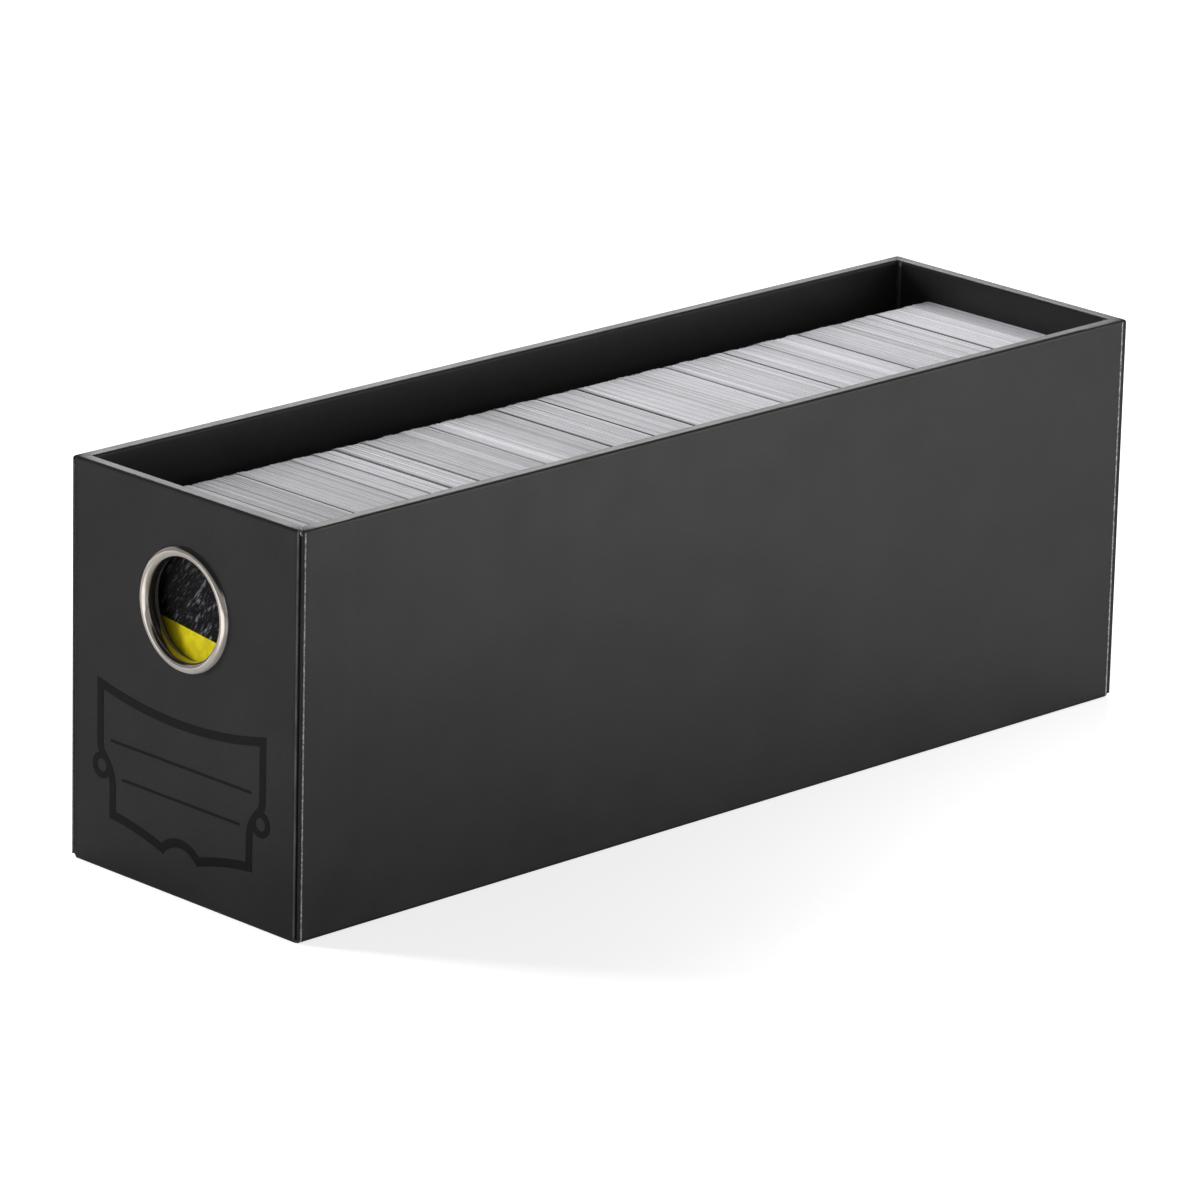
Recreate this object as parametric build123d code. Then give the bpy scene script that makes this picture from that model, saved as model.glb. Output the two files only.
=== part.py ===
from build123d import *
import os
from math import atan2, cos, sin

# Open drawer box of paper-covered board, with a finger ring and a row of standing cards.
# Millimetres. X is the width, Y the length with the ringed front at -Y, Z is up from the base.

# ---------------------------------------------------------------- driving dimensions
box_width = 79.5
box_length = 280.0
box_height = 100.0
board = 3.0                 # greyboard
paper = 0.25                # covering and lining
tape = 0.12                 # corner stay
wall = board + 2 * paper

rim_radius = 0.8            # covering over the rim
base_radius = 1.0           # covering round the base edge
corner_radius = 1.0         # covering round the upright corners
turn_in = 30.0              # depth of the covering inside the rim
flap = 15.0                 # end panels' flaps along the sides
side_trim = 1.4             # side panels stop this far from the corners
foot_trim = 3.0             # height of the slanted foot of the trimmed edge
mitre_gap = 0.08
stay_leg = 12.0
stay_end = 2.0              # stays stop short of the rim and the base
seam_gap = 0.1

ring_height = 71.5          # centre of the ring above the base
ring_bore = 12.5
ring_bead = 2.9             # width of the domed bead
ring_proud = 1.2
ring_sheet = 0.5
ring_reach = 2.0            # barrel behind the front face
ring_clearance = 0.05
ring_crown = 0.35           # half width of the flat under the bead
ring_steps = 7              # facets across the bead

label_x = -1.0
label_thick = 0.05
label_band = 2.2
label_half = 28.55          # half width between the side bands' centre lines
label_top = 46.4
label_sag = 3.3
label_waist = 24.05         # half width below the ears
label_foot = 14.6
label_tip = (6.3, 11.0)
label_notch_top = 13.8
shoulder_top = 31.8
shoulder_foot = 21.5
shoulder_split = 0.33       # share of the shoulder that the upper arc takes
ear_centre = (27.95, 26.05)
ear_radius = 3.3
ear_hole = 1.6
writing_lines = ((24.85, 33.0), (20.7, 24.2))   # half length and height of each
writing_line = 0.7

card_width = 63.0
card_height = 88.0
card_thick = 0.3
card_corner = 3.0
card_side_gap = 0.1         # to the right-hand wall
card_end_gap = 0.15
card_jog = 0.8              # most that a card stands out to the left
pack_gap = 0.15
packet = 9.0                # cards that stand flush with each other
pack_edges = (23.9, 35.1, 54.7, 62.0, 68.6, 77.4, 99.5, 108.6, 121.6, 136.0, 149.5,
              165.0, 180.4, 200.5, 212.8, 227.3, 242.0, 255.7)   # from the front face

half_width = box_width / 2
half_length = box_length / 2
floor_top = 2 * paper + board
ring_hole = ring_bore + ring_sheet + ring_clearance


# ---------------------------------------------------------------- walls
def wall_section(reach):
    """A covered wall cut across, its outer face at x = reach: rounded rim and rounded outer foot."""
    section = Pos(reach - wall / 2, box_height / 2) * Rectangle(wall, box_height)
    section = fillet(section.vertices().group_by(Axis.Y)[-1], rim_radius)
    return fillet(section.vertices().group_by(Axis.Y)[0].sort_by(Axis.X)[-1], base_radius)


def board_section(reach):
    return offset(wall_section(reach), -paper, kind=Kind.INTERSECTION)


def covering_section(reach):
    """The sheet round a wall: up the outside, over the rim and down the inside by turn_in."""
    sheet = wall_section(reach) - board_section(reach)
    bare_inside = box_height - turn_in
    sheet -= Pos(reach - wall, bare_inside / 2) * Rectangle(wall, bare_inside)
    return sheet - Pos(reach - base_radius - wall / 2, 0) * Rectangle(wall, wall)


def along_y(section, run):
    return extrude(Plane.XZ * section, amount=run / 2, both=True)


def mitre_wedge(reach, run):
    """Plan wedge that ends a wall at +X on the 45 degree lines through the box's corners."""
    outer, inner = reach + wall, reach - 2 * wall
    plan = Polygon(
        (inner, run / 2 - 2 * wall - mitre_gap),
        (inner, -run / 2 + 2 * wall + mitre_gap),
        (outer, -run / 2 - wall + mitre_gap),
        (outer, run / 2 + wall - mitre_gap),
        align=None,
    )
    return extrude(plan, amount=box_height)


def corner_block(x_from, y_from, low, high):
    """Block over the front right corner of the plan, from x_from and y_from outwards."""
    size = 2 * half_length
    plan = Pos(x_from + size / 2, -y_from - size / 2) * Rectangle(size, size)
    return Pos(0, 0, low) * extrude(plan, amount=high - low)


def board_outline():
    """Plan of the board box, inside the covering and the flaps."""
    outline = Rectangle(box_width - 4 * paper, box_length - 2 * paper)
    return fillet(outline.vertices(), corner_radius - paper)


def front_corner_flap():
    """The front panel's flap at the front right corner: round the corner and along the side."""
    inset = paper
    outline = Rectangle(box_width - 2 * inset, box_length)
    outline = fillet(outline.vertices(), corner_radius)
    band = outline - offset(outline, -paper, kind=Kind.INTERSECTION)
    low, high = base_radius, box_height - rim_radius
    sheet = Pos(0, 0, low) * extrude(band, amount=high - low)
    start = half_width - inset - corner_radius
    return sheet & corner_block(start, half_length - flap, low, high)


def corner_stay():
    """Tape round the front right corner of the boards."""
    outline = board_outline()
    band = outline - offset(outline, -tape, kind=Kind.INTERSECTION)
    low, high = stay_end, box_height - stay_end
    sheet = Pos(0, 0, low) * extrude(band, amount=high - low)
    return sheet & corner_block(half_width - stay_leg, half_length - stay_leg, low, high)


def ring_cutter():
    """Round hole through the front wall."""
    hole = Pos(0, ring_height) * Circle(ring_hole)
    return extrude(Plane.XZ.offset(half_length - 2 * wall) * hole, amount=3 * wall)


def end_panel():
    """Covering of the front wall, with its two flaps. The back's is the same without the hole."""
    sheet = along_y(covering_section(half_length), box_width)
    sheet &= mitre_wedge(half_length, box_width)
    sheet = Rot(0, 0, -90) * sheet
    start = half_width - paper - corner_radius
    outside = corner_block(start, half_length - wall / 2, 0, box_height - rim_radius)
    flap_right = front_corner_flap()
    sheet = sheet - outside - mirror(outside, Plane.YZ)
    return sheet + flap_right + mirror(flap_right, Plane.YZ)


def side_panel():
    """Covering of the right wall, trimmed short of both corners down to a slanted foot."""
    sheet = along_y(covering_section(half_width), box_length)
    sheet &= mitre_wedge(half_width, box_length)
    edge = half_length - side_trim
    trim = Polygon(
        (edge, foot_trim),
        (edge, box_height - rim_radius),
        (half_length + paper, box_height - rim_radius),
        (half_length + paper, 0),
        (half_length - paper, 0),
        align=None,
    )
    trim = extrude(Plane.YZ.offset(half_width - 1.5 * paper) * trim, amount=2 * paper)
    foot = Pos(half_width, half_length) * Rectangle(2 * wall, 2 * base_radius)
    cuts = trim + extrude(foot, amount=base_radius)
    return sheet - cuts - mirror(cuts, Plane.XZ)


def end_board(stay):
    """Front board over the full width, with the stays bedded into it."""
    plank = along_y(board_section(half_length), box_width - 4 * paper)
    plank = Rot(0, 0, -90) * plank
    across = Pos(0, box_height / 2) * Rectangle(box_width - 2 * paper, box_height - 2 * paper)
    across = fillet(across.vertices().group_by(Axis.Y)[-1], rim_radius - paper)
    across = fillet(across.vertices().group_by(Axis.Y)[0], base_radius - paper)
    plank &= along_y(across, box_length)
    plank &= extrude(board_outline(), amount=box_height)
    return plank - stay - mirror(stay, Plane.YZ)


def side_board(flap_right, stay):
    """Right board between the end boards, with flaps and stays bedded into it."""
    run = box_length - 2 * (board + paper)
    plank = along_y(board_section(half_width), run)
    bedded = flap_right + stay
    return plank - bedded - mirror(bedded, Plane.XZ)


# ---------------------------------------------------------------- ring, lining and label
def dome_point(step):
    """Point of the bead's domed section, in steps from the bore to the rim."""
    half = ring_bead / 2
    radius = (half**2 + ring_proud**2) / (2 * ring_proud)
    sunk = radius - ring_proud
    start = atan2(sunk, -half)
    turn = start + (atan2(sunk, half) - start) * step / ring_steps
    return ring_bore + half + radius * cos(turn), sunk - radius * sin(turn) - half_length


def ring_face():
    """Pressed sheet ring: a hollow domed bead that runs into a barrel."""
    middle = ring_bore + ring_bead / 2
    rim = ring_bore + ring_bead
    face = -half_length
    end = face + ring_reach
    under = face - ring_proud + ring_sheet
    profile = [
        Polyline(*[dome_point(step) for step in range(ring_steps + 1)]),
        Polyline(
            (rim, face),
            (rim - ring_sheet, face),
            (middle + ring_crown, under),
            (middle - ring_crown, under),
            (ring_bore + ring_sheet, face),
            (ring_bore + ring_sheet, end),
            (ring_bore, end),
            (ring_bore, face),
        ),
    ]
    return Pos(0, 0, ring_height) * revolve(make_face(profile), Axis.Y)


def lining_strip():
    """Strip round the inside of the walls, butted at the back left corner."""
    outside = Rectangle(box_width - 2 * wall + 2 * paper, box_length - 2 * wall + 2 * paper)
    inside = Rectangle(box_width - 2 * wall, box_length - 2 * wall)
    seam_x = -half_width + wall
    seam = Pos(seam_x, half_length - wall + paper / 2) * Rectangle(seam_gap, 2 * paper)
    top = box_height - turn_in - seam_gap
    strip = extrude(outside - inside - seam, amount=top - floor_top)
    return Pos(0, 0, floor_top) * strip


def label_outline():
    """Centre line of the label's band: sagging top, shoulders over the ears, notched foot."""
    corner = (label_half, label_top)
    high = (label_half, shoulder_top)
    low = (label_waist, shoulder_foot)
    middle = tuple(a + shoulder_split * (b - a) for a, b in zip(high, low))
    foot = (label_waist, label_foot)
    right = [
        Line(corner, high),
        TangentArc(high, middle, tangent=(0, -1)),
        TangentArc(low, middle, tangent=(0, 1)),
        Line(low, foot),
        SagittaArc(foot, label_tip, -0.5),
    ]
    top = ThreePointArc((-label_half, label_top), (0, label_top - label_sag), corner)
    tip_x, tip_z = label_tip
    notch = ThreePointArc((-tip_x, tip_z), (0, label_notch_top), (tip_x, tip_z))
    return right + [mirror(line, Plane.YZ) for line in right] + [top, notch]


def label_frame():
    """Raised varnish: the framed label with its eared sides, and two writing lines."""
    middle = make_face(label_outline())
    outer = offset(middle, label_band / 2, kind=Kind.INTERSECTION)
    frame = outer - offset(middle, -label_band / 2, kind=Kind.INTERSECTION)
    ear_x, ear_z = ear_centre
    for side in (-1, 1):
        frame += Pos(side * ear_x, ear_z) * Circle(ear_radius)
    for side in (-1, 1):
        frame -= Pos(side * ear_x, ear_z) * Circle(ear_hole)
    for half, height in writing_lines:
        frame += Pos(0, height) * Rectangle(2 * half, writing_line)
    place = Pos(label_x, 0) * frame
    return extrude(Plane.XZ.offset(half_length) * place, amount=label_thick)


# ---------------------------------------------------------------- cards
def card_block(right, front, back):
    """Cards that stand flush, from y = front to y = back, their right edges at x = right."""
    card = RectangleRounded(card_width, card_height, card_corner)
    place = Pos(right - card_width / 2, floor_top + card_height / 2) * card
    return extrude(Plane.XZ.offset(-back) * place, amount=back - front)


def card_pack(number, front, back):
    """A pack of cards in packets, each pushed a little further to the left or right."""
    count = max(1, round((back - front) / packet))
    pitch = (back - front) / count
    pack = None
    for packet_number in range(count):
        jog = card_jog / 2 * (1 + sin(2.3 * packet_number + 1.7 * number))
        right = half_width - wall - card_side_gap - jog
        start = front + packet_number * pitch
        block = card_block(right, start, start + pitch)
        pack = block if pack is None else pack + block
    return pack


def card_packs():
    """Every pack of the row, by node name, from the front to the back."""
    first = -half_length + wall + card_end_gap + card_thick
    last = half_length - wall - card_end_gap
    edges = [first] + [-half_length + edge for edge in pack_edges] + [last]
    packs = {}
    for number, (front, back) in enumerate(zip(edges, edges[1:]), start=1):
        packs[f"cards_{number:02d}"] = card_pack(number, front + pack_gap, back)
    return packs


# ---------------------------------------------------------------- the box, node by node
def model():
    flap_right = front_corner_flap()
    stay = corner_stay()
    hole = ring_cutter()
    front_covering = end_panel()
    right_covering = side_panel()
    front = end_board(stay)
    right = side_board(flap_right, stay)
    back_stay = mirror(stay, Plane.XZ)
    base_flat = 2 * (half_width - base_radius), 2 * (half_length - base_radius)
    base_size = box_width - 2 * (wall - paper), box_length - 2 * (wall - paper)
    card_front = -half_length + wall + card_end_gap
    nodes = {
        "base_board": Pos(0, 0, paper) * extrude(Rectangle(*base_size), amount=board),
        "front_board": front - hole,
        "back_board": mirror(front, Plane.XZ),
        "right_board": right,
        "left_board": mirror(right, Plane.YZ),
        "stay_front_right": stay,
        "stay_front_left": mirror(stay, Plane.YZ),
        "stay_back_right": back_stay,
        "stay_back_left": mirror(back_stay, Plane.YZ),
        "wrap_base_panel": extrude(Rectangle(*base_flat), amount=paper),
        "wrap_front_panel": front_covering - hole,
        "wrap_back_panel": mirror(front_covering, Plane.XZ),
        "wrap_right_panel": right_covering,
        "wrap_left_panel": mirror(right_covering, Plane.YZ),
        "floor_lining": Pos(0, 0, paper + board) * extrude(Rectangle(*base_size), amount=paper),
        "wall_lining": lining_strip() - hole,
        "ring_face": ring_face(),
        "label_frame": label_frame(),
        "front_card": card_block(
            half_width - wall - card_side_gap, card_front, card_front + card_thick
        ),
    }
    nodes.update(card_packs())
    return nodes


os.makedirs("parts", exist_ok=True)
for node, shape in model().items():
    export_step(shape, f"parts/{node}.step")
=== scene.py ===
import math

import bpy
from mathutils import Matrix, Vector


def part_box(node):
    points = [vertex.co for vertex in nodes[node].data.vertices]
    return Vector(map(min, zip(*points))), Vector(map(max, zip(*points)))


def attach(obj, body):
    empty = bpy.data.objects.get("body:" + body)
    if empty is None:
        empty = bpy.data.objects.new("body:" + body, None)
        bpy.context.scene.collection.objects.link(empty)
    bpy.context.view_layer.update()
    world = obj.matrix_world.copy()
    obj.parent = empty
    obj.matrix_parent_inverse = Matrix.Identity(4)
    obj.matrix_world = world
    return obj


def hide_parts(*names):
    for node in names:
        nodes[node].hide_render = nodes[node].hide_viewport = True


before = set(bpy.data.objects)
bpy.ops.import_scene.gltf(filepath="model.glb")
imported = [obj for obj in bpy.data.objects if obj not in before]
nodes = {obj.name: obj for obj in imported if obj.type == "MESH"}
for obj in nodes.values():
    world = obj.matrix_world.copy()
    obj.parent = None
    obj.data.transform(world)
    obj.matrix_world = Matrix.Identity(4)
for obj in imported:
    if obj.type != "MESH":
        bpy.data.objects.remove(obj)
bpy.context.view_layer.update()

MM = 0.001

# ---------------------------------------------------------------- the box, in millimetres
HALF_WIDTH, HALF_LENGTH, HEIGHT = 39.75, 140.0, 100.0
WALL = 3.5
SIDE_TRIM = 1.4              # side panels of the covering stop this far from the corners
FLAP = 15.0                  # end panels' flaps along the sides
TURN_IN = 30.0               # depth of the covering inside the rim
FLOOR_TOP = 3.5              # top of the floor lining

# ---------------------------------------------------------------- camera
CAMERA_PLACE = (1.26997, -1.26418, 0.61701)
CAMERA_TURN = 45.235          # degrees round from the ringed front
CAMERA_DROP = 17.705          # degrees below the horizon
CAMERA_ROLL = 1.391
CAMERA_LENS = 230.45
CAMERA_SENSOR = 36.0


def set_camera():
    turn, drop, roll = (math.radians(a) for a in (CAMERA_TURN, CAMERA_DROP, CAMERA_ROLL))
    ahead = Vector((-math.sin(turn) * math.cos(drop), math.cos(turn) * math.cos(drop), -math.sin(drop)))
    level = ahead.cross(Vector((0, 0, 1))).normalized()
    upright = level.cross(ahead)
    right = math.cos(roll) * level + math.sin(roll) * upright
    up = -math.sin(roll) * level + math.cos(roll) * upright
    data = bpy.data.cameras.new("bench_camera")
    data.lens = CAMERA_LENS
    data.sensor_width = CAMERA_SENSOR
    data.clip_start, data.clip_end = 0.05, 60
    camera = bpy.data.objects.new("bench_camera", data)
    bpy.context.scene.collection.objects.link(camera)
    axes = Matrix((right, up, -ahead)).transposed().to_4x4()
    camera.matrix_world = Matrix.Translation(CAMERA_PLACE) @ axes
    bpy.context.scene.camera = camera


# ---------------------------------------------------------------- node helpers
def plug(tree, socket, value):
    """Link a socket to another one, or give it a plain value."""
    if isinstance(value, bpy.types.NodeSocket):
        tree.links.new(value, socket)
    elif value is not None:
        socket.default_value = value


def joined(tree, operation, *values):
    """A sum, product or other operation on sockets and numbers."""
    node = tree.nodes.new("ShaderNodeMath")
    node.operation = operation
    for socket, value in zip(node.inputs, values):
        plug(tree, socket, value)
    return node.outputs[0]


def product(tree, first, *others):
    for other in others:
        first = joined(tree, "MULTIPLY", first, other)
    return first


def smooth_step(tree, value, low, high, start=0.0, end=1.0):
    """Smooth ramp from start to end as a value goes from low to high."""
    node = tree.nodes.new("ShaderNodeMapRange")
    node.interpolation_type = "SMOOTHSTEP"
    for socket, number in zip(node.inputs, (value, low, high, start, end)):
        plug(tree, socket, number)
    return node.outputs[0]


class Finish:
    """A surface finish as a tree of shader nodes, in millimetres of the box's own frame."""

    def __init__(self, name):
        self.material = bpy.data.materials.new(name)
        self.material.use_nodes = True
        self.tree = self.material.node_tree
        self.tree.nodes.clear()
        self.output = self.tree.nodes.new("ShaderNodeOutputMaterial")
        coordinates = self.tree.nodes.new("ShaderNodeTexCoord")
        self.place = self.scaled(coordinates.outputs["Object"], 1 / MM)
        self.x, self.y, self.z = self.make("ShaderNodeSeparateXYZ", self.place).outputs

    def make(self, kind, *inputs, **settings):
        node = self.tree.nodes.new(kind)
        for name, value in settings.items():
            setattr(node, name, value)
        for socket, value in zip(node.inputs, inputs):
            plug(self.tree, socket, value)
        return node

    def math(self, operation, *values):
        return joined(self.tree, operation, *values)

    def product(self, *values):
        return product(self.tree, *values)

    def largest(self, first, *others):
        for other in others:
            first = self.math("MAXIMUM", first, other)
        return first

    def size_of(self, value):
        return self.math("ABSOLUTE", value)

    def at(self, value, place, reach):
        """1 within reach of a place, 0 elsewhere."""
        return self.math("COMPARE", value, place, reach)

    def span(self, value, low, high, start=0.0, end=1.0):
        return smooth_step(self.tree, value, low, high, start, end)

    def scaled(self, colour, value):
        """A colour or a place times a value."""
        node = self.make("ShaderNodeVectorMath", operation="SCALE")
        plug(self.tree, node.inputs[0], colour)
        plug(self.tree, node.inputs["Scale"], value)
        return node.outputs[0]

    def noise(self, size, detail=2.0, rough=0.5, stretch=(1, 1, 1), turn=(0, 0, 0), shift=(0, 0, 0)):
        """Noise whose features are about size millimetres, longer along the axes with a larger stretch."""
        mapping = self.make("ShaderNodeMapping", self.place, vector_type="TEXTURE")
        mapping.inputs["Location"].default_value = shift
        mapping.inputs["Rotation"].default_value = [math.radians(a) for a in turn]
        mapping.inputs["Scale"].default_value = stretch
        node = self.make("ShaderNodeTexNoise", mapping.outputs[0])
        node.inputs["Scale"].default_value = 1 / size
        node.inputs["Detail"].default_value = detail
        node.inputs["Roughness"].default_value = rough
        return node.outputs["Fac"]

    def grain(self, noise, low, high):
        """A value from low to high as a noise goes over its usual range."""
        return self.span(noise, 0.3, 0.7, low, high)

    def blend(self, share, first, second):
        node = self.make("ShaderNodeMix", data_type="RGBA")
        for name, value in (("Factor_Float", share), ("A_Color", first), ("B_Color", second)):
            socket = next(s for s in node.inputs if s.identifier == name)
            plug(self.tree, socket, (*value, 1.0) if isinstance(value, tuple) else value)
        return next(s for s in node.outputs if s.identifier == "Result_Color")

    def bump(self, height, depth, under=None):
        """Bump from a height of 0 to 1, depth in millimetres."""
        node = self.make("ShaderNodeBump")
        node.inputs["Strength"].default_value = 1.0
        node.inputs["Distance"].default_value = depth * MM
        plug(self.tree, node.inputs["Height"], height)
        plug(self.tree, node.inputs["Normal"], under)
        return node.outputs[0]

    def facing(self):
        """The surface's outward direction along X, Y and Z."""
        geometry = self.make("ShaderNodeNewGeometry")
        return self.make("ShaderNodeSeparateXYZ", geometry.outputs["Normal"]).outputs

    def on_card_face(self):
        """1 on a card's front and back, 0 on its edges."""
        return self.span(self.size_of(self.facing()["Y"]), 0.85, 0.95)

    def surface(self, colour, roughness, normal, metallic=0.0, shine=0.5):
        shader = self.make("ShaderNodeBsdfPrincipled")
        plug(self.tree, shader.inputs["Base Color"], colour)
        plug(self.tree, shader.inputs["Roughness"], roughness)
        plug(self.tree, shader.inputs["Normal"], normal)
        shader.inputs["Metallic"].default_value = metallic
        shader.inputs["Specular IOR Level"].default_value = shine
        self.tree.links.new(shader.outputs[0], self.output.inputs["Surface"])
        return self.material


# ---------------------------------------------------------------- covering
LAMINATE_BLACK = (0.0216, 0.0197, 0.0206)
# rubbed wear with a painted highlight, for the fold line on the end faces
RUBBED_AND_LIT_LAMINATE = (0.15, 0.147, 0.15)
# painted highlight for the band beside the inner corners
INNER_BAND_HIGHLIGHT = (0.11, 0.108, 0.11)
WORN_PRINT = (0.40, 0.39, 0.41)
PAPER_CORE = (0.66, 0.65, 0.68)
# painted shade for the small gaps of the mitres
MITRE_GAP_SHADE = (0.003, 0.003, 0.003)
TORN_FIBRES = (0.62, 0.6, 0.64)


class Covering(Finish):
    """Matt laminated paper: black print with a faint tooth, rubbed folds with a painted highlight, painted
    shade on the corner bends, rim ends and mitre gaps, a painted highlight beside the inner corners, and pale
    cut edges.

    Its marks are placed in millimetres in from the box's outer faces and down from the rim.
    """

    def __init__(self):
        super().__init__("matt_laminate")
        self.in_x = self.math("SUBTRACT", HALF_WIDTH, self.size_of(self.x))
        self.in_y = self.math("SUBTRACT", HALF_LENGTH, self.size_of(self.y))
        self.down = self.math("SUBTRACT", HEIGHT, self.z)
        self.off_mitre = self.size_of(self.math("SUBTRACT", self.in_x, self.in_y))
        self.way = self.facing()

    def rightwards(self, start):
        """A value that grows from start on the left side of the box to 1 on the right."""
        return self.span(self.x, -38, 38, start, 1.0)

    def corner_bend_shade(self):
        """The flaps' bend round the upright corners, darkened by painted shade."""
        beside_trim = self.span(self.in_y, SIDE_TRIM + 0.1, SIDE_TRIM - 0.05)
        bend = self.product(self.span(self.in_x, 0.9, 0.6), beside_trim, self.span(self.down, 0.3, 0.7))
        return self.product(bend, self.span(self.in_x, 0.1, 0.2), self.rightwards(0.2))

    def rim_end_shade(self):
        """The rim's last millimetres before each corner, darkened by painted shade and duller."""
        to_corner = self.math("ADD", self.in_x, self.in_y)
        return self.product(self.span(to_corner, 9.0, 0.5), self.span(self.down, 0.9, 0.3))

    def rubbed_and_lit_fold(self):
        """The line on the end faces where the fold beside them is rubbed, lighter from wear and from a
        painted highlight.
        """
        line = self.product(self.span(self.in_x, 1.55, 1.15), self.span(self.in_x, 0.65, 0.95))
        marks = self.span(self.noise(1.6, 3, 0.6, stretch=(1, 1, 4)), 0.35, 0.7, 0.55, 1.0)
        return self.product(line, self.span(self.in_y, 0.5, 0.2), marks, self.rightwards(0.15))

    def inner_turn_highlight(self):
        """The band beside the inner corners where the covering stands off them, lightened by a painted
        highlight.
        """
        on_end_wall = self.at(self.in_y, WALL, 0.15)
        return self.product(self.span(self.in_x, 4.95, 4.75), on_end_wall, self.span(self.in_x, 3.85, 4.05))

    def cut_edges(self):
        """The paper's pale core at the side panels' trim, the mitres and the lower edge inside."""
        edge_on = self.span(self.size_of(self.way["Y"]), 0.55, 0.8)
        outside = self.span(self.in_x, 0.36, 0.26)
        trimmed = self.product(edge_on, self.at(self.in_y, SIDE_TRIM - 0.5, 0.7), outside)
        ragged = self.span(self.noise(0.6, 3, 0.7, stretch=(1, 1, 1.6)), 0.38, 0.62, 0.3, 0.9)
        frayed = self.product(self.at(self.in_y, SIDE_TRIM, 0.22), outside, ragged)
        frayed = self.product(frayed, self.span(self.down, 0.4, 0.8))
        facing_down = self.span(self.product(self.way["Z"], -1.0), 0.6, 0.9)
        low_edge = self.product(facing_down, self.at(self.down, TURN_IN, 0.3))
        slanted = self.product(self.size_of(self.way["X"]), self.size_of(self.way["Y"]))
        turned_in = self.span(self.down, TURN_IN + 0.5, TURN_IN)
        mitred = self.product(self.span(slanted, 0.44, 0.48), turned_in, self.span(self.in_x, 1.55, 1.75))
        fibres = self.span(self.noise(0.55, 3, 0.7), 0.36, 0.6, 0.45, 1.0)
        return self.product(self.largest(trimmed, frayed, low_edge, mitred), fibres)

    def mitre_ends(self):
        """On the rim's corners, painted shade in the small gap of each mitre, and the near one's torn fibres.
        """
        on_top = self.span(self.down, 1.4, 0.9)
        outer_end = self.span(self.in_x, 1.65, 1.25)
        mitre_gap_shade = self.product(self.span(self.off_mitre, 0.75, 0.45), outer_end, on_top)
        near_right = self.span(self.x, HALF_WIDTH - 3.35, HALF_WIDTH - 2.95)
        near_right = self.product(near_right, self.span(self.y, -130, -131))
        shreds = self.span(self.noise(0.7, 3, 0.7), 0.5, 0.62)
        torn = self.product(self.span(self.off_mitre, 0.5, 0.3), near_right, on_top, shreds)
        return mitre_gap_shade, torn

    def relief(self):
        """Tooth of the laminate, slow waves of the board and the ridge over the flaps' ends."""
        tooth = self.bump(self.noise(0.35, 2, 0.6), 0.012)
        waves = self.bump(self.noise(26, 2, 0.5), 0.16, tooth)
        ridge = self.span(self.in_y, FLAP + 2.4, FLAP - 1.2)
        ridge = self.product(ridge, self.span(self.in_x, 0.6, 0.3))
        return self.bump(ridge, 0.10, waves)

    def build(self):
        bend, rim_end_shade, inner_turn_highlight = self.corner_bend_shade(), self.rim_end_shade(), self.inner_turn_highlight()
        mitre_gap_shade, torn = self.mitre_ends()
        tone = self.product(
            self.grain(self.noise(38, 3, 0.55), 0.88, 1.12),
            self.grain(self.noise(0.9, 2, 0.7), 0.93, 1.07),
            # painted shade: the corner bends darken to 0.15
            self.span(bend, 0.0, 1.0, 1.0, 0.15),
            # painted shade: the rim's ends darken to 0.6
            self.span(rim_end_shade, 0.0, 1.0, 1.0, 0.6),
        )
        colour = self.scaled(LAMINATE_BLACK, tone)
        worn_top = self.product(inner_turn_highlight, self.at(self.down, 1.1, 0.4))
        for share, strength, mark in (
            (self.rubbed_and_lit_fold(), 1.0, RUBBED_AND_LIT_LAMINATE),
            (inner_turn_highlight, 0.85, INNER_BAND_HIGHLIGHT),
            (worn_top, 0.7, WORN_PRINT),
            (self.cut_edges(), 1.0, PAPER_CORE),
            (mitre_gap_shade, 1.0, MITRE_GAP_SHADE),
            (torn, 0.8, TORN_FIBRES),
        ):
            colour = self.blend(self.product(share, strength), colour, mark)

        at_corner = self.product(self.span(self.in_x, 2.35, 0.95), self.span(self.in_y, 2.4, 1.0))
        dull = self.largest(bend, mitre_gap_shade, self.product(at_corner, 0.8), self.product(rim_end_shade, 0.5))
        roughness = self.grain(self.noise(12, 3, 0.6), 0.42, 0.49)
        roughness = self.math("ADD", roughness, self.product(dull, 0.4))
        return self.surface(colour, roughness, self.relief(), shine=0.25)


# ---------------------------------------------------------------- other paper, board, varnish and metal
def lining_finish():
    """Plain black paper, uncoated, with short fibres."""
    f = Finish("black_lining_paper")
    fibres = f.noise(0.6, 3, 0.7, stretch=(3, 1, 1), turn=(0, 0, 25))
    colour = f.scaled((0.012, 0.012, 0.0125), f.grain(fibres, 0.75, 1.3))
    return f.surface(colour, f.grain(fibres, 0.72, 0.85), f.bump(fibres, 0.02), shine=0.3)


def board_finish():
    """Grey board: recycled fibres in grey with darker flecks."""
    f = Finish("grey_board")
    fibres = f.noise(0.8, 4, 0.65, stretch=(2, 1, 1))
    flecks = f.span(f.noise(1.6, 2, 0.5, shift=(5, 3, 1)), 0.62, 0.7)
    colour = f.scaled((0.19, 0.185, 0.175), f.grain(fibres, 0.8, 1.2))
    colour = f.blend(f.product(flecks, 0.6), colour, (0.06, 0.055, 0.05))
    return f.surface(colour, 0.9, f.bump(fibres, 0.04), shine=0.2)


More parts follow.
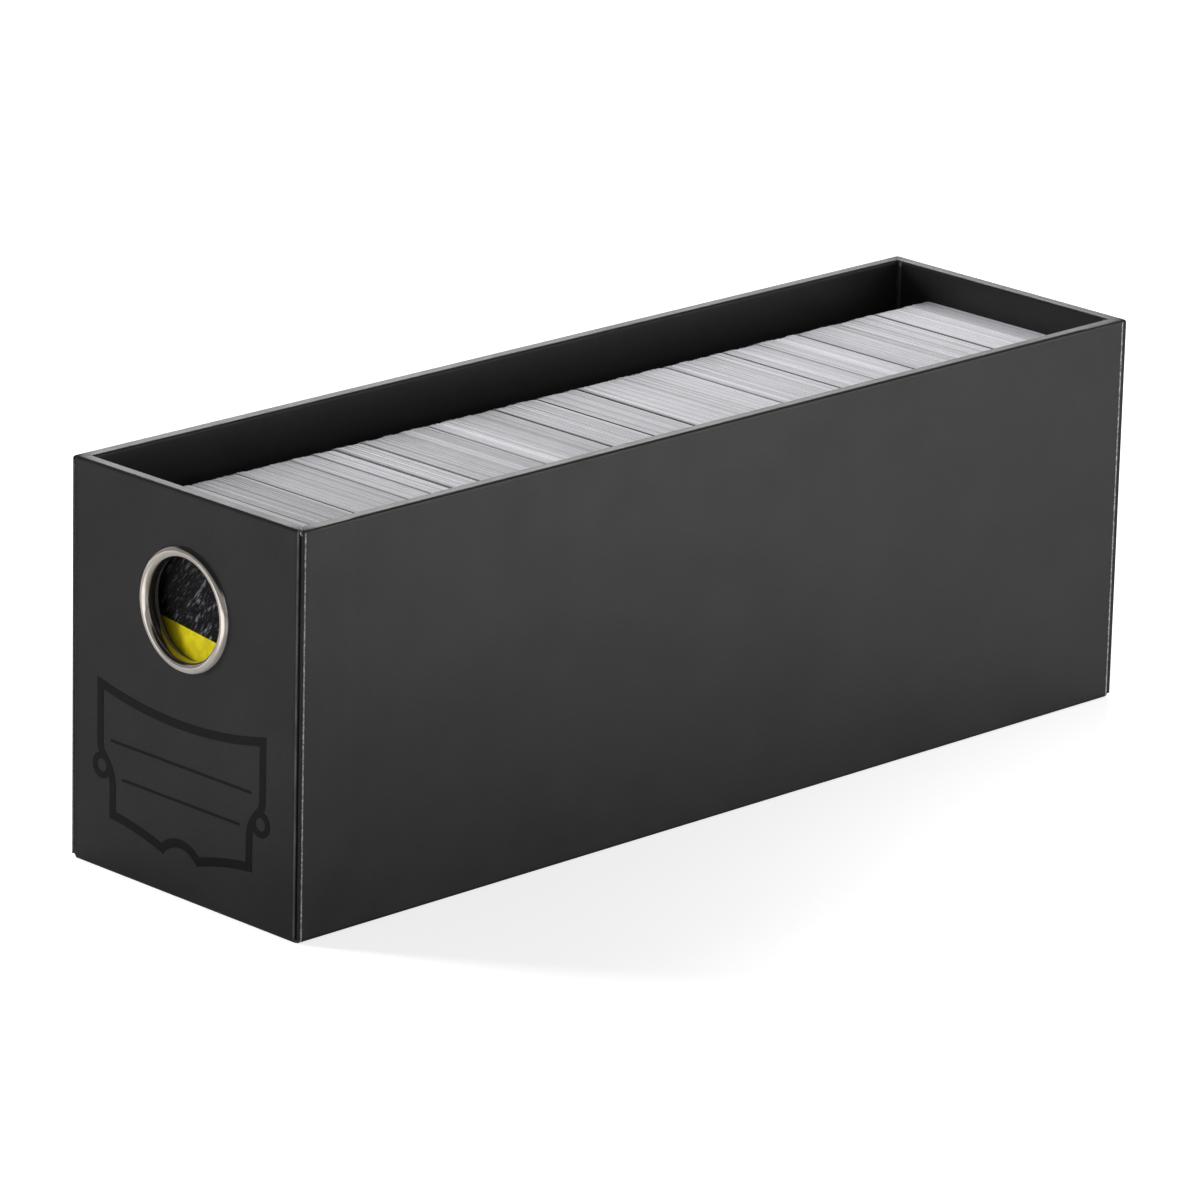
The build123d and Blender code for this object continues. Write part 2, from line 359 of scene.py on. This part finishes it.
def stay_finish():
    """Brown paper tape with a fine crossed grain."""
    f = Finish("kraft_stay_tape")
    along = f.noise(0.5, 3, 0.6, stretch=(1, 1, 5))
    across = f.noise(0.5, 3, 0.6, stretch=(4, 4, 1), shift=(2, 2, 2))
    crossed = f.product(f.math("ADD", along, across), 0.5)
    colour = f.scaled((0.42, 0.29, 0.17), f.span(crossed, 0.35, 0.65, 0.8, 1.2))
    return f.surface(colour, f.grain(crossed, 0.55, 0.7), f.bump(crossed, 0.015), shine=0.3)


def varnish_finish():
    """Tone-on-tone raised varnish, smoother and darker than the laminate."""
    f = Finish("label_varnish")
    clouds = f.noise(6, 3, 0.6)
    colour = f.scaled((0.0038, 0.0036, 0.0037), f.grain(clouds, 0.8, 1.25))
    ripple = f.bump(f.noise(1.1, 2, 0.5), 0.006)
    return f.surface(colour, f.grain(clouds, 0.38, 0.46), ripple, shine=0.15)


def nickel_finish():
    """Satin nickel plate with fine polishing marks."""
    f = Finish("nickel_plate")
    marks = f.noise(0.25, 3, 0.7, stretch=(1, 3, 1))
    haze = f.noise(3.5, 2, 0.5)
    colour = f.blend(f.span(haze, 0.3, 0.7), (0.65, 0.60, 0.55), (0.58, 0.53, 0.485))
    roughness = f.math("ADD", f.grain(haze, 0.09, 0.14), f.span(marks, 0.4, 0.8, 0.0, 0.05))
    return f.surface(colour, roughness, f.bump(marks, 0.0012), metallic=1.0)


# ---------------------------------------------------------------- cards
CARD_WIDTH, CARD_HEIGHT, CARD_CORNER = 63.0, 88.0, 3.0
CARD_RIGHT = 36.15           # right-hand edge of a card that isn't pushed over
CARD_PITCH = 0.31
CARD_GAP = 0.012
CARD_SHORT = 0.0022          # most that a card is lower than the tallest, as a share
CARD_JOG = 0.8               # most that a card stands out to the left
PACKET_SHARE, LOOSE_SHARE = 0.8, 0.2    # of that, what its packet does and what it does alone
BUNDLE_TONES = 0.82, 1.13    # how much darker or lighter a few cards in a row are than their pack
RARE_CARDS, RARE_DROP = 0.05, 0.16      # share of the cards with a darker edge, and how much darker
ROW_SEED = 11

CARD_BORDER = 4.0
LATTICE_PITCH = 6.5
CARD_WHITE = (0.66, 0.66, 0.67)
LATTICE_GROUND, LATTICE_LINE = (0.075, 0.085, 0.115), (0.33, 0.35, 0.40)

BAND_TOP = 65.3              # upper edge of the front card's band, at the middle of the box
BAND_SLOPE = 0.118
BAND_WIDTH = 15.0


def lattice_print(f):
    """White border round a plain blue-grey panel with a diamond lattice."""
    across = f.math("SUBTRACT", f.x, CARD_RIGHT - CARD_WIDTH / 2)
    up = f.math("SUBTRACT", f.z, FLOOR_TOP + CARD_HEIGHT / 2)
    edge_x, edge_z = CARD_WIDTH / 2 - CARD_BORDER, CARD_HEIGHT / 2 - CARD_BORDER
    in_border = f.product(
        f.span(f.size_of(across), edge_x, edge_x - 0.1),
        f.span(f.size_of(up), edge_z, edge_z - 0.1),
    )
    lines = []
    for sign in (1.0, -1.0):
        slant = f.math("ADD", across, f.product(up, sign))
        wave = f.size_of(f.math("SINE", f.product(slant, math.pi / LATTICE_PITCH)))
        lines.append(f.span(wave, 0.14, 0.05))
    panel = f.blend(f.product(f.largest(*lines), 0.5), LATTICE_GROUND, LATTICE_LINE)
    printed = f.blend(in_border, CARD_WHITE, panel)
    return f.scaled(printed, f.grain(f.noise(9, 2, 0.5), 0.94, 1.06))


def card_stock_finish():
    """Card edges in pressed white board, each card its own grey, between printed faces."""
    f = Finish("card_stock")
    tone = f.make("ShaderNodeAttribute", attribute_name="card_tone", attribute_type="GEOMETRY").outputs["Fac"]
    streaks = f.noise(0.5, 3, 0.7, stretch=(9, 0.35, 3))
    nap = f.noise(0.22, 2, 0.6)
    light = f.product(
        tone,
        f.span(streaks, 0.25, 0.75, 0.90, 1.10),
        f.grain(nap, 0.91, 1.09),
        # painted light: edges up to 12% lighter from y = 126 mm to the back of the row, over the back wall's
        # shadow
        f.span(f.y, 126, 137, 1.0, 1.12),
    )
    edge = f.scaled((0.70, 0.69, 0.735), light)
    printed = f.scaled(lattice_print(f), f.span(tone, 0.45, 0.65, 0.08, 1.0))
    on_face = f.on_card_face()
    roughness = f.math("SUBTRACT", 0.72, f.product(on_face, 0.34))
    return f.surface(f.blend(on_face, edge, printed), roughness, f.bump(nap, 0.008), shine=0.4)


def front_card_finish():
    """Printed face of the first card: black crumpled ground and a slanted yellow band, darkened to the left
    by a painted shadow.
    """
    f = Finish("front_card_print")
    band_top = f.math("SUBTRACT", BAND_TOP, f.product(f.x, BAND_SLOPE))
    below = f.math("SUBTRACT", band_top, f.z)
    yellow = f.product(f.span(below, 0.0, 0.12), f.span(below, BAND_WIDTH + 0.1, BAND_WIDTH))
    creases = f.noise(1.15, 4, 0.62, stretch=(0.5, 1, 3.0), turn=(0, 38, 0))
    crumple = f.noise(5.5, 2, 0.5, shift=(3, 0, 9))
    fine = f.noise(0.5, 3, 0.6, stretch=(0.5, 1, 3.4), turn=(0, 33, 0), shift=(1, 2, 7))
    glints = f.largest(
        f.product(f.span(creases, 0.53, 0.66), f.span(crumple, 0.30, 0.52)),
        f.product(f.span(fine, 0.54, 0.68), 0.22),
    )
    ground = f.blend(glints, (0.0015, 0.0015, 0.002), (0.21, 0.21, 0.24))
    band = f.scaled((0.90, 0.77, 0.02), f.grain(f.noise(2.4, 3, 0.55), 0.86, 1.08))
    printed = f.blend(yellow, ground, band)
    # painted shadow of the ring: the print darkens to 0.18 on its left, fading out by x = -3 mm
    printed = f.scaled(printed, f.span(f.x, -12.0, -3.0, 0.18, 1.0))
    colour = f.blend(f.on_card_face(), (0.6, 0.6, 0.62), printed)
    roughness = f.span(creases, 0.4, 0.7, 0.34, 0.5)
    return f.surface(colour, roughness, f.bump(creases, 0.02), shine=0.08)


class CardRow:
    """Geometry nodes that stand a pack of cards side by side, with small random offsets."""

    SIZES = (
        ("Cards", "NodeSocketInt", 10),
        ("First", "NodeSocketFloat", 0.0),
        ("Pitch", "NodeSocketFloat", CARD_PITCH * MM),
        ("Thickness", "NodeSocketFloat", (CARD_PITCH - CARD_GAP) * MM),
        ("Width", "NodeSocketFloat", CARD_WIDTH * MM),
        ("Height", "NodeSocketFloat", CARD_HEIGHT * MM),
        ("Corner", "NodeSocketFloat", CARD_CORNER * MM),
        ("Right Edge", "NodeSocketFloat", CARD_RIGHT * MM),
        ("Foot", "NodeSocketFloat", FLOOR_TOP * MM),
        ("Jog", "NodeSocketFloat", CARD_JOG * MM),
        ("Shorter", "NodeSocketFloat", CARD_SHORT),
        ("Dark Tone", "NodeSocketFloat", 0.6),
        ("Light Tone", "NodeSocketFloat", 1.0),
        ("Line Tone", "NodeSocketFloat", 0.8),
        ("Line Cards", "NodeSocketFloat", 1.0),
        ("Packet", "NodeSocketInt", 9),
        ("Bundle", "NodeSocketFloat", 3.4),
        ("Seed", "NodeSocketInt", ROW_SEED),
    )
    CORNER_STEPS = 4
    # what each random draw adds to the seed
    SHORT_DRAW, TONE_DRAW, LOOSE_DRAW, RARE_DRAW, BUNDLE_DRAW = 3, 5, 7, 9, 13

    def __init__(self, finish):
        self.tree = bpy.data.node_groups.new("card_row", "GeometryNodeTree")
        self.tree.interface.new_socket("Cards", in_out="OUTPUT", socket_type="NodeSocketGeometry")
        self.inputs = {}
        for name, kind, value in self.SIZES:
            socket = self.tree.interface.new_socket(name, in_out="INPUT", socket_type=kind)
            socket.default_value = value
            self.inputs[name] = socket.identifier
        self.size = self.tree.nodes.new("NodeGroupInput").outputs
        self.build(finish)

    def node(self, kind, settings=None, **values):
        node = self.tree.nodes.new(kind)
        for name, value in (settings or {}).items():
            setattr(node, name, value)
        for name, value in values.items():
            plug(self.tree, node.inputs[name.replace("_", " ")], value)
        return node

    def math(self, operation, *values):
        return joined(self.tree, operation, *values)

    def along(self, **lengths):
        """A vector of lengths along X, Y and Z."""
        return self.node("ShaderNodeCombineXYZ", **lengths).outputs[0]

    def chance(self, low, high, draw, key):
        """A random value from low to high for each key."""
        node = self.node("FunctionNodeRandomValue", {"data_type": "FLOAT"})
        seed = self.math("ADD", self.size["Seed"], draw)
        wanted = {"Min": low, "Max": high, "ID": key, "Seed": seed}
        for socket in (s for s in node.inputs if s.enabled):
            plug(self.tree, socket, wanted[socket.name])
        return next(s for s in node.outputs if s.enabled)

    def group_of(self, number, count):
        """Number of the group that a card is in, where each has so many cards."""
        return self.math("FLOOR", self.math("DIVIDE", number, count))

    def card(self):
        """One card with rounded corners, upright on its lower edge, its right edge in place."""
        size = self.size
        outline = self.node(
            "GeometryNodeCurvePrimitiveQuadrilateral",
            Width=size["Width"],
            Height=size["Height"],
        )
        rounded = self.node(
            "GeometryNodeFilletCurve",
            {"mode": "POLY"},
            Curve=outline.outputs[0],
            Radius=size["Corner"],
            Count=self.CORNER_STEPS,
        )
        depth = self.node("GeometryNodeCurvePrimitiveLine", End=self.along(Z=size["Thickness"]))
        card = self.node(
            "GeometryNodeCurveToMesh",
            Curve=depth.outputs[0],
            Profile_Curve=rounded.outputs[0],
            Fill_Caps=True,
        )
        standing = self.node("GeometryNodeTransform", Geometry=card.outputs[0])
        standing.inputs["Rotation"].default_value = (math.radians(-90), 0, 0)
        half = product(self.tree, size["Width"], 0.5)
        lift = self.along(
            X=self.math("SUBTRACT", size["Right Edge"], half),
            Z=product(self.tree, size["Height"], 0.5),
        )
        return self.node("GeometryNodeTransform", Geometry=standing.outputs[0], Translation=lift).outputs[0]

    def places(self, number):
        """A point for each card, moved to the left by its packet's jog and a little of its own."""
        size = self.size
        line = self.node(
            "GeometryNodeMeshLine",
            Count=size["Cards"],
            Start_Location=self.along(Y=size["First"], Z=size["Foot"]),
            Offset=self.along(Y=size["Pitch"]),
        )
        packet = self.group_of(number, size["Packet"])
        pushed = self.chance(0.0, PACKET_SHARE, 0, packet)
        loose = self.chance(0.0, LOOSE_SHARE, self.LOOSE_DRAW, number)
        left = product(self.tree, self.math("ADD", pushed, loose), size["Jog"], -1.0)
        moved = self.node("GeometryNodeSetPosition", Geometry=line.outputs[0], Offset=self.along(X=left))
        return moved.outputs[0]

    def tone(self, number):
        """Grey of each card's edges. The darker cards are partly painted shade of the gaps between cards and
        partly darker stock.
        """
        size = self.size
        shade = self.chance(size["Dark Tone"], size["Light Tone"], self.TONE_DRAW, number)
        bundle = self.group_of(number, size["Bundle"])
        shade = product(self.tree, shade, self.chance(*BUNDLE_TONES, self.BUNDLE_DRAW, bundle))
        rare = self.chance(0.0, 1.0, self.RARE_DRAW, number)
        drop = product(self.tree, self.math("GREATER_THAN", rare, 1.0 - RARE_CARDS), RARE_DROP)
        shade = self.math("SUBTRACT", shade, drop)
        first = self.math("LESS_THAN", number, self.math("SUBTRACT", size["Line Cards"], 0.5))
        darker = product(self.tree, first, self.math("SUBTRACT", 1.0, size["Line Tone"]))
        return product(self.tree, shade, self.math("SUBTRACT", 1.0, darker))

    def build(self, finish):
        number = self.node("GeometryNodeInputIndex").outputs[0]
        shorter = self.chance(0.0, self.size["Shorter"], self.SHORT_DRAW, number)
        row = self.node(
            "GeometryNodeInstanceOnPoints",
            Points=self.places(number),
            Instance=self.card(),
            Scale=self.along(X=1.0, Y=1.0, Z=self.math("SUBTRACT", 1.0, shorter)),
        )
        toned = self.node(
            "GeometryNodeStoreNamedAttribute",
            {"data_type": "FLOAT", "domain": "INSTANCE"},
            Geometry=row.outputs[0],
            Name="card_tone",
            Value=self.tone(number),
        )
        real = self.node("GeometryNodeRealizeInstances", Geometry=toned.outputs[0])
        finished = self.node("GeometryNodeSetMaterial", Geometry=real.outputs[0], Material=finish)
        out = self.tree.nodes.new("NodeGroupOutput")
        self.tree.links.new(finished.outputs[0], out.inputs[0])

    def pack(self, name, finish, **values):
        """A plain mesh of one pack of cards."""
        carrier = bpy.data.objects.new(name + "_row", bpy.data.meshes.new(name + "_row"))
        bpy.context.scene.collection.objects.link(carrier)
        row = carrier.modifiers.new("row", "NODES")
        row.node_group = self.tree
        for label, value in values.items():
            row[self.inputs[label.replace("_", " ")]] = value
        bpy.context.view_layer.update()
        view = bpy.context.evaluated_depsgraph_get()
        mesh = bpy.data.meshes.new_from_object(carrier.evaluated_get(view), depsgraph=view)
        bpy.data.objects.remove(carrier)
        mesh.name = name
        mesh.materials.clear()
        mesh.materials.append(finish)
        piece = bpy.data.objects.new(name, mesh)
        bpy.context.scene.collection.objects.link(piece)
        return piece


PACK_LOOKS = {               # mean tone of a pack's edges, share of it on the first card, gap before it
    "cards_01": (0.66, 1.0, 0.0),
    "cards_02": (0.68, 0.8, 0.1),
    "cards_03": (0.77, 0.8, 0.15),
    "cards_04": (0.97, 0.42, 0.3),
    "cards_05": (0.98, 0.45, 0.3),
    "cards_06": (1.02, 0.35, 0.2),
    "cards_07": (0.80, 0.3, 0.3),
    "cards_08": (1.12, 0.55, 0.3),
    "cards_09": (0.80, 0.8, 0.1),
    "cards_10": (0.90, 0.38, 0.3),
    "cards_11": (0.93, 0.5, 0.3),
    "cards_12": (0.96, 0.25, 0.4),
    "cards_13": (0.98, 0.8, 0.15),
    "cards_14": (1.02, 0.45, 0.3),
    "cards_15": (1.03, 0.25, 0.4),
    "cards_16": (1.08, 0.5, 0.3),
    "cards_17": (0.94, 0.55, 0.3),
    "cards_18": (1.03, 0.9, 0.15),
    # cards_19's high tone is partly painted light over the back wall's shadow
    "cards_19": (1.14, 0.25, 0.4),
}
CARD_SPREAD = 0.11           # how much lighter or darker than that a single card is
DEEP_LINE = 0.4              # below this share the first two cards are dark, not one


def stand_cards(finish):
    """The individual cards of every pack, in the room that the pack has."""
    row = CardRow(finish)
    packs = sorted(name for name in nodes if name.startswith("cards_"))
    for number, name in enumerate(packs, start=1):
        tone, line_tone, gap = PACK_LOOKS[name]
        low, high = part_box(name)
        start = low.y + gap * MM
        room = high.y - start
        count = max(1, round(room / (CARD_PITCH * MM)))
        pitch = room / count
        piece = row.pack(
            name + "_sheets",
            finish,
            Cards=count,
            First=start,
            Pitch=pitch,
            Thickness=pitch - CARD_GAP * MM,
            Dark_Tone=tone * (1 - CARD_SPREAD),
            Light_Tone=tone * (1 + CARD_SPREAD),
            Line_Tone=line_tone,
            Line_Cards=2.0 if line_tone < DEEP_LINE else 1.0,
            Seed=ROW_SEED * number,
        )
        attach(piece, name)
        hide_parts(name)


# ---------------------------------------------------------------- ring
RING_CENTRE = 71.5
RING_BORE, RING_BEAD, RING_PROUD = 12.5, 2.9, 1.17
RING_SHEET, RING_REACH = 0.5, 2.0
RING_LIP = 0.12              # chamfer of the barrel's end
RING_TURNS, DOME_STEPS, HOLLOW_STEPS = 144, 18, 8
RING_SHARP = 38              # degrees


def dome_arc(radius, sunk, start, steps):
    """Points of an arc over the top of the bead, from an angle on one side to the same on the other."""
    middle = RING_BORE + RING_BEAD / 2
    sweep = math.pi - 2 * start
    points = []
    for step in range(steps + 1):
        turn = start + sweep * step / steps
        points.append((middle + radius * math.cos(turn), sunk - radius * math.sin(turn)))
    return points


def ring_profile():
    """Closed section of the pressed ring: radius from the bore's axis, and depth from the front face."""
    half = RING_BEAD / 2
    dome = (half**2 + RING_PROUD**2) / (2 * RING_PROUD)
    sunk = dome - RING_PROUD
    outer = dome_arc(dome, sunk, math.atan2(sunk, -half), DOME_STEPS)
    hollow = dome - RING_SHEET
    spread = math.sqrt(hollow**2 - sunk**2)
    inner = dome_arc(hollow, sunk, math.atan2(sunk, spread), HOLLOW_STEPS)
    barrel_outside = inner[-1][0]
    barrel = [
        (barrel_outside, RING_REACH - RING_LIP),
        (barrel_outside - RING_LIP, RING_REACH),
        (RING_BORE + RING_LIP, RING_REACH),
        (RING_BORE, RING_REACH - RING_LIP),
    ]
    return outer + inner + barrel


def make_ring(finish):
    profile = ring_profile()
    points, faces = [], []
    for turn in range(RING_TURNS):
        angle = 2 * math.pi * turn / RING_TURNS
        for radius, depth in profile:
            across, up = radius * math.cos(angle), RING_CENTRE + radius * math.sin(angle)
            points.append((across * MM, (depth - HALF_LENGTH) * MM, up * MM))
    count = len(profile)
    for turn in range(RING_TURNS):
        here, ahead = turn * count, (turn + 1) % RING_TURNS * count
        for k in range(count):
            after = (k + 1) % count
            faces.append((here + k, here + after, ahead + after, ahead + k))
    mesh = bpy.data.meshes.new("finger_ring")
    mesh.from_pydata(points, [], faces)
    mesh.polygons.foreach_set("use_smooth", [True] * len(faces))
    mesh.set_sharp_from_angle(angle=math.radians(RING_SHARP))
    mesh.materials.append(finish)
    ring = bpy.data.objects.new("finger_ring", mesh)
    bpy.context.scene.collection.objects.link(ring)
    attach(ring, "drawer_box")
    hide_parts("ring_face")


# ---------------------------------------------------------------- finishes of the nodes
def finish_node(name, finish):
    materials = nodes[name].data.materials
    if len(materials) == 0:
        materials.append(finish)
    for slot in range(len(materials)):
        materials[slot] = finish


def finish_nodes():
    starts = {
        "wrap_": Covering().build(),
        "stay_": stay_finish(),
        "label_": varnish_finish(),
        "front_card": front_card_finish(),
    }
    ends = {"_lining": lining_finish(), "_board": board_finish()}
    for name in nodes:
        found = [finish for start, finish in starts.items() if name.startswith(start)]
        found += [finish for end, finish in ends.items() if name.endswith(end)]
        if found:
            finish_node(name, found[0])


# ---------------------------------------------------------------- floor and light
FLOOR_REACH = 9.0
FLOOR_PAINT = (0.62, 0.62, 0.62, 1)
FLOOR_LIFT = 0.75            # what the floor shows above its own lit colour
MIRRORED_LIFT = 0.05         # share of that in a reflection
BRIGHT_FLOOR = 1.25          # more of it in front of the ring
SKY = 0.24                   # what the studio lights the box with
FRONT_WALL = 0.42            # what a reflection shows of the studio towards the viewer, where it is 1 behind
CEILING = 0.06               # the same overhead


def seen_share(tree, mirrored):
    """1 for what the camera sees, mirrored for what a reflection sees, and 0 for what lights the box."""
    path = tree.nodes.new("ShaderNodeLightPath")
    share = path.outputs["Is Camera Ray"]
    for name in ("Is Glossy Ray", "Is Transmission Ray"):
        share = joined(tree, "MULTIPLY_ADD", path.outputs[name], mirrored, share)
    return share


def place_by(tree, coordinates):
    """X, Y and Z of a kind of texture coordinates."""
    node = tree.nodes.new("ShaderNodeSeparateXYZ")
    tree.links.new(tree.nodes.new("ShaderNodeTexCoord").outputs[coordinates], node.inputs[0])
    return node.outputs


def floor_in_front(tree):
    """Share of the bright floor: a wedge that opens forwards from the ring."""
    place = place_by(tree, "Object")
    ahead = joined(tree, "SUBTRACT", -HALF_LENGTH * MM, place["Y"])
    slant = joined(tree, "DIVIDE", place["X"], joined(tree, "MAXIMUM", ahead, 0.01))
    left_side, right_side = smooth_step(tree, slant, -0.92, -0.62), smooth_step(tree, slant, 0.75, 0.4)
    near_end, far_end = smooth_step(tree, ahead, 0.08, 0.16), smooth_step(tree, ahead, 1.5, 0.8)
    return product(tree, left_side, right_side, near_end, far_end)


def make_floor():
    mesh = bpy.data.meshes.new("floor")
    r = FLOOR_REACH
    mesh.from_pydata([(-r, -r, 0), (r, -r, 0), (r, r, 0), (-r, r, 0)], [], [(0, 1, 2, 3)])
    floor = bpy.data.objects.new("floor", mesh)
    bpy.context.scene.collection.objects.link(floor)
    material = bpy.data.materials.new("pale_floor")
    material.use_nodes = True
    tree = material.node_tree
    tree.nodes.clear()
    paint = tree.nodes.new("ShaderNodeBsdfDiffuse")
    paint.inputs["Color"].default_value = FLOOR_PAINT
    glow = tree.nodes.new("ShaderNodeEmission")
    mirrored = joined(tree, "MULTIPLY_ADD", floor_in_front(tree), BRIGHT_FLOOR, MIRRORED_LIFT)
    tree.links.new(product(tree, seen_share(tree, mirrored), FLOOR_LIFT), glow.inputs["Strength"])
    both = tree.nodes.new("ShaderNodeAddShader")
    tree.links.new(paint.outputs[0], both.inputs[0])
    tree.links.new(glow.outputs[0], both.inputs[1])
    out = tree.nodes.new("ShaderNodeOutputMaterial")
    tree.links.new(both.outputs[0], out.inputs["Surface"])
    mesh.materials.append(material)


def make_sky():
    world = bpy.data.worlds.new("studio")
    world.use_nodes = True
    tree = world.node_tree
    tree.nodes.clear()
    way = place_by(tree, "Generated")
    low_share = smooth_step(tree, way["Y"], -0.3, 0.3, FRONT_WALL, 1.0)
    rise = smooth_step(tree, way["Z"], 0.38, 0.62, 1.0, CEILING)
    mirrored = joined(tree, "MULTIPLY_ADD", product(tree, low_share, rise), 1 / (1 - SKY), -SKY / (1 - SKY))
    shade = joined(tree, "MULTIPLY_ADD", seen_share(tree, mirrored), 1 - SKY, SKY)
    back = tree.nodes.new("ShaderNodeBackground")
    tree.links.new(shade, back.inputs["Strength"])
    out = tree.nodes.new("ShaderNodeOutputWorld")
    tree.links.new(back.outputs[0], out.inputs["Surface"])
    bpy.context.scene.world = world


def area_lamp(name, turn, rise, distance, size, power, aim=(0, 0, 0.06), spread=180, glossy=True):
    """Soft lamp. turn is in degrees round from the ringed front, positive to the right."""
    a, e = math.radians(turn), math.radians(rise)
    way = Vector((math.sin(a) * math.cos(e), -math.cos(a) * math.cos(e), math.sin(e)))
    data = bpy.data.lights.new(name, "AREA")
    data.shape = "RECTANGLE"
    data.size, data.size_y = size
    data.energy = power
    data.spread = math.radians(spread)
    lamp = bpy.data.objects.new(name, data)
    lamp.visible_glossy = glossy
    lamp.location = Vector(aim) + way * distance
    lamp.rotation_mode = "QUATERNION"
    lamp.rotation_quaternion = (-way).to_track_quat("-Z", "Y")
    bpy.context.scene.collection.objects.link(lamp)


def make_light():
    make_sky()
    area_lamp("back_left_key", 228, 38, 1.6, (0.7, 0.7), 17.0)
    area_lamp("front_left_key", -53, 19, 1.7, (0.28, 0.8), 22.5, glossy=False)
    area_lamp("right_fill", 128, 10, 1.8, (0.9, 0.5), 3.0)
    area_lamp("right_low_fill", 122, 1, 1.2, (0.9, 0.12), 4.6)
    area_lamp("right_floor_pool", 0, 90, 0.6, (0.15, 0.15), 0.9, aim=(0.33, 0.14, 0.0), spread=50)


set_camera()
finish_nodes()
stand_cards(card_stock_finish())
make_ring(nickel_finish())
make_floor()
make_light()
bpy.context.scene.view_settings.view_transform = "Standard"
